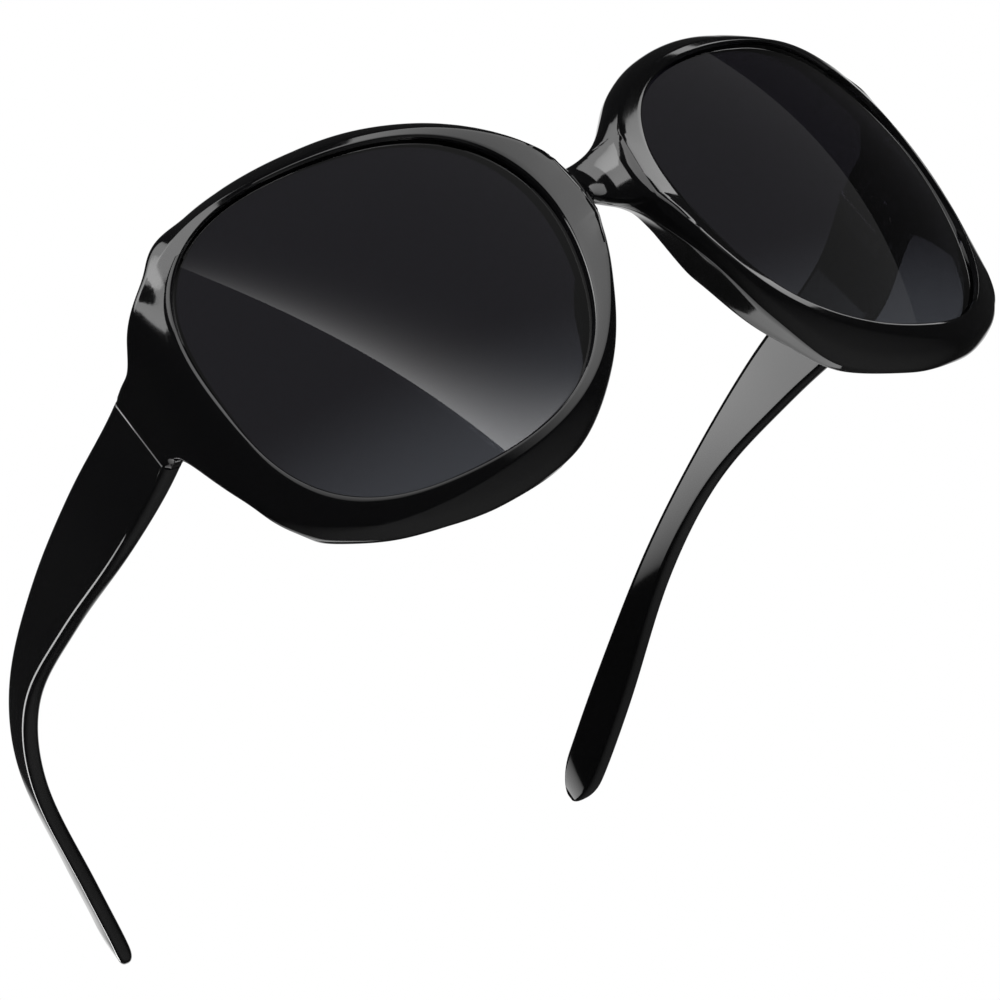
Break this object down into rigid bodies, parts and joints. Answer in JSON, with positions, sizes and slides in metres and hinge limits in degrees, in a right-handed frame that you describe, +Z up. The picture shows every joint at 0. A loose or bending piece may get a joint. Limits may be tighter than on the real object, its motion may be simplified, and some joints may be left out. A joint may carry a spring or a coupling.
{
  "type": "sunglasses",
  "caption": "Oversized full-rim sunglasses with large rounded gradient lenses, a sunken saddle bridge, moulded nose pads and folding temples on barrel hinges.",
  "frame": {"origin": "centre of the box round the open glasses, at the table they stand on, which touches the lower edges of the rims and the temple tips", "axes": "+X to the wearer's left, +Y from the lenses back to the temple tips, +Z up; the front faces -Y"},
  "size_m": [0.1542, 0.158, 0.0659],
  "materials": {
    "frame_plastic": "polished black injection moulding",
    "tinted_lens": "polished, gradient tint, darker at the top",
    "hinge_metal": "satin nickel silver",
    "fixing_metal": "bright turned steel"
  },
  "bodies": {
    "front": {"front_frame": "frame_plastic", "lens_right": "tinted_lens", "lens_left": "tinted_lens", "front_hinge_right": "hinge_metal", "front_hinge_left": "hinge_metal", "hinge_screw_right": "fixing_metal", "hinge_screw_left": "fixing_metal", "front_hinge_rivets_right": "fixing_metal", "front_hinge_rivets_left": "fixing_metal"},
    "temple_right": {"temple_right": "frame_plastic", "temple_hinge_right": "hinge_metal", "temple_hinge_rivets_right": "fixing_metal"},
    "temple_left": {"temple_left": "frame_plastic", "temple_hinge_left": "hinge_metal", "temple_hinge_rivets_left": "fixing_metal"}
  },
  "joints": [
    {"name": "temple_left_fold", "type": "hinge", "parent": "front", "child": "temple_left", "pos_m": [0.06963, -0.04266, 0.03839], "axis": [0, 0.1995, 0.9799], "range_deg": [0, 88]},
    {"name": "temple_right_fold", "type": "hinge", "parent": "front", "child": "temple_right", "pos_m": [-0.06963, -0.04266, 0.03839], "axis": [0, -0.1995, -0.9799], "range_deg": [0, 75]}
  ]
}
